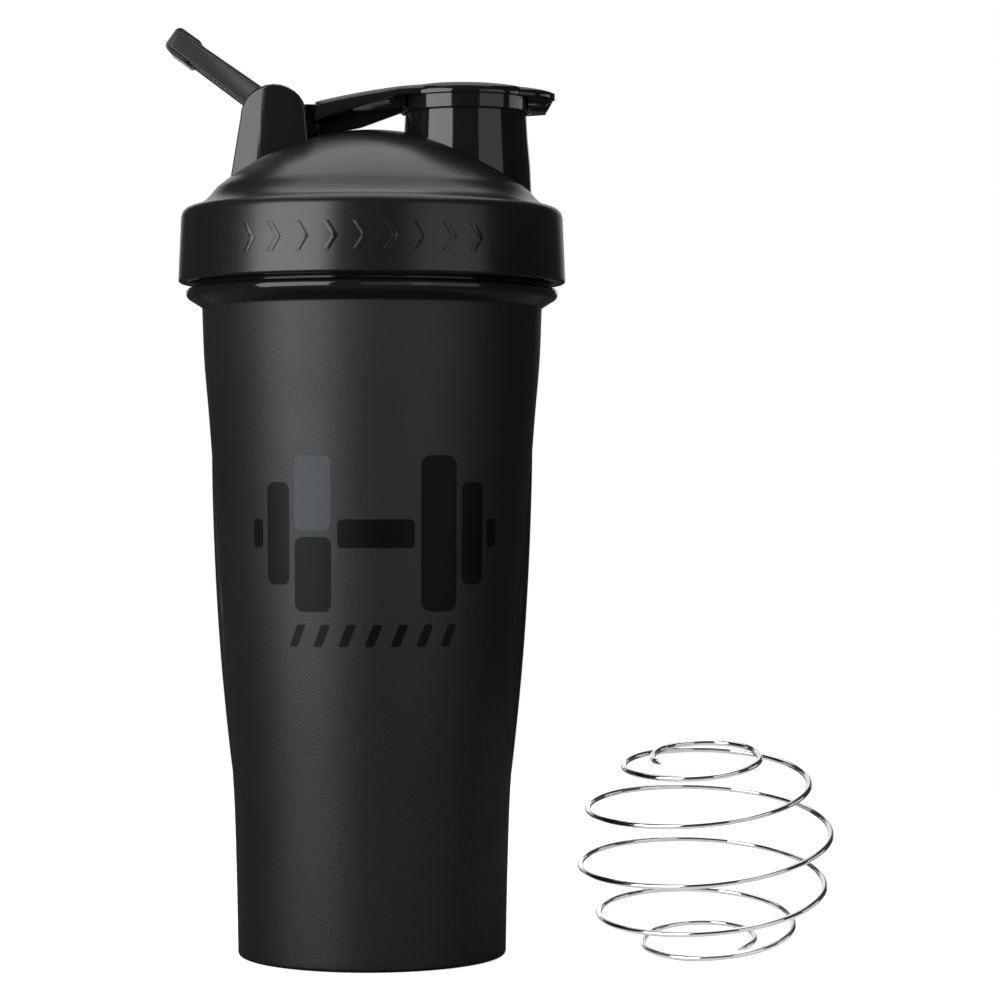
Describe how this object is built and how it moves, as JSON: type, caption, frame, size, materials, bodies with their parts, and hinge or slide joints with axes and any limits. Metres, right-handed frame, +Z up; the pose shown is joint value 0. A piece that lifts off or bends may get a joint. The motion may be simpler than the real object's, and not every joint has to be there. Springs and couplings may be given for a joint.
{
  "type": "protein shaker bottle",
  "caption": "Tapered drinking cup with a screw lid, hinged flip cap over its spout, swivelling carry loop and a loose wire mixing ball.",
  "frame": {"origin": "centre of the flat pad under the cup's base, on the table", "axes": "+Z up along the cup's axis, +X from the hinge ears towards the drinking spout"},
  "size_m": [0.1692, 0.098, 0.2337],
  "materials": {
    "cup_plastic": "frosted, slightly smoky, very fine grain",
    "lid_plastic": "satin",
    "cap_plastic": "gloss",
    "loop_plastic": "semi-gloss",
    "seal_rubber": "matte silicone",
    "pin_plastic": "semi-gloss",
    "print_ink": "flat screen-printed ink, dark",
    "accent_ink": "flat screen-printed ink, slate",
    "stainless_wire": "polished stainless steel"
  },
  "bodies": {
    "cup": {"cup": "cup_plastic"},
    "lid_seal": {"lid_seal": "seal_rubber"},
    "lid": {"lid": "lid_plastic", "hinge_pin": "pin_plastic"},
    "flip_cap": {"flip_cap": "cap_plastic", "spout_seal": "seal_rubber"},
    "carry_loop": {"carry_loop": "loop_plastic"},
    "whisk_ball": {"whisk_ball": "stainless_wire"}
  },
  "joints": [
    {"name": "lid_lift", "type": "slide", "parent": "cup", "child": "lid_seal", "axis": [0, 0, 1], "range_m": [0, 0.0401]},
    {"name": "lid_unscrew", "type": "hinge", "parent": "lid_seal", "child": "lid", "pos_m": [0, 0, 0.175], "axis": [0, 0, 1], "range_deg": [0, 1440]},
    {"name": "cap_flip", "type": "hinge", "parent": "lid", "child": "flip_cap", "pos_m": [-0.0243, 0, 0.2108], "axis": [0, -1, 0], "range_deg": [0, 95]},
    {"name": "loop_swing", "type": "hinge", "parent": "lid", "child": "carry_loop", "pos_m": [-0.0243, 0, 0.2108], "axis": [0, -1, 0], "range_deg": [0, 55]},
    {"name": "whisk_lift", "type": "slide", "parent": "cup", "child": "whisk_ball", "axis": [0, 0, 1], "range_m": [0, 0.2]}
  ],
  "couplings": [
    {"joint": "lid_lift", "follows": "lid_unscrew", "m_per_rad": 0.0015915}
  ]
}
